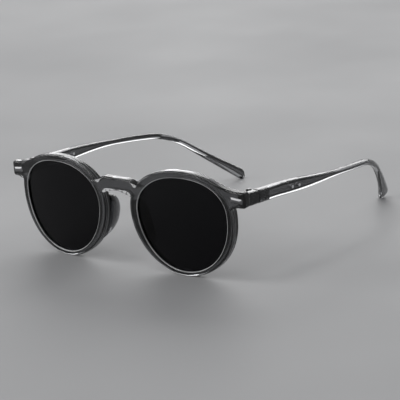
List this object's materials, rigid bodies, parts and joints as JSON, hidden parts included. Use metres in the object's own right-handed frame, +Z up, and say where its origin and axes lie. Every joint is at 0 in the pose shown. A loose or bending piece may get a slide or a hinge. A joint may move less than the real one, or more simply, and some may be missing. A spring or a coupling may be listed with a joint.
{
  "type": "round sunglasses",
  "caption": "Round full-rim sunglasses with a clear smoke acetate saddle-bridge front, near-black lenses, folding riveted temples and metal plaques on the end pieces.",
  "frame": {"origin": "middle of the bounding box's base, on the surface that the rims and the temple tips rest on", "axes": "-Y is where the wearer looks, +Y runs back along the temples, +X is the wearer's left, +Z is up"},
  "size_m": [0.14, 0.1578, 0.0487],
  "materials": {
    "acetate": "polished clear smoke grey acetate",
    "pad_acetate": "polished clear smoke grey acetate",
    "lens": "glossy near-black tinted lens",
    "plaque_metal": "polished nickel silver",
    "rivet_metal": "polished nickel silver",
    "hinge_metal": "satin nickel silver"
  },
  "bodies": {
    "frame": {"front_frame": "acetate", "lens_left": "lens", "lens_right": "lens", "nose_pad_left": "pad_acetate", "nose_pad_right": "pad_acetate", "front_plaque_left": "plaque_metal", "front_plaque_right": "plaque_metal", "front_hinge_left": "hinge_metal", "front_hinge_right": "hinge_metal", "front_hinge_pins_left": "hinge_metal", "front_hinge_pins_right": "hinge_metal", "hinge_screw_left": "hinge_metal", "hinge_screw_right": "hinge_metal"},
    "left_temple": {"temple_left": "acetate", "temple_hinge_left": "hinge_metal", "temple_hinge_pins_left": "hinge_metal", "temple_rivets_left": "rivet_metal"},
    "right_temple": {"temple_right": "acetate", "temple_hinge_right": "hinge_metal", "temple_hinge_pins_right": "hinge_metal", "temple_rivets_right": "rivet_metal"}
  },
  "joints": [
    {"name": "temple_fold_left", "type": "hinge", "parent": "frame", "child": "left_temple", "pos_m": [0.0621, -0.06237, 0.03729], "axis": [0, 0.0461, 0.9989], "range_deg": [0, 88]},
    {"name": "temple_fold_right", "type": "hinge", "parent": "frame", "child": "right_temple", "pos_m": [-0.0621, -0.06237, 0.03729], "axis": [0, -0.0461, -0.9989], "range_deg": [0, 82]}
  ]
}
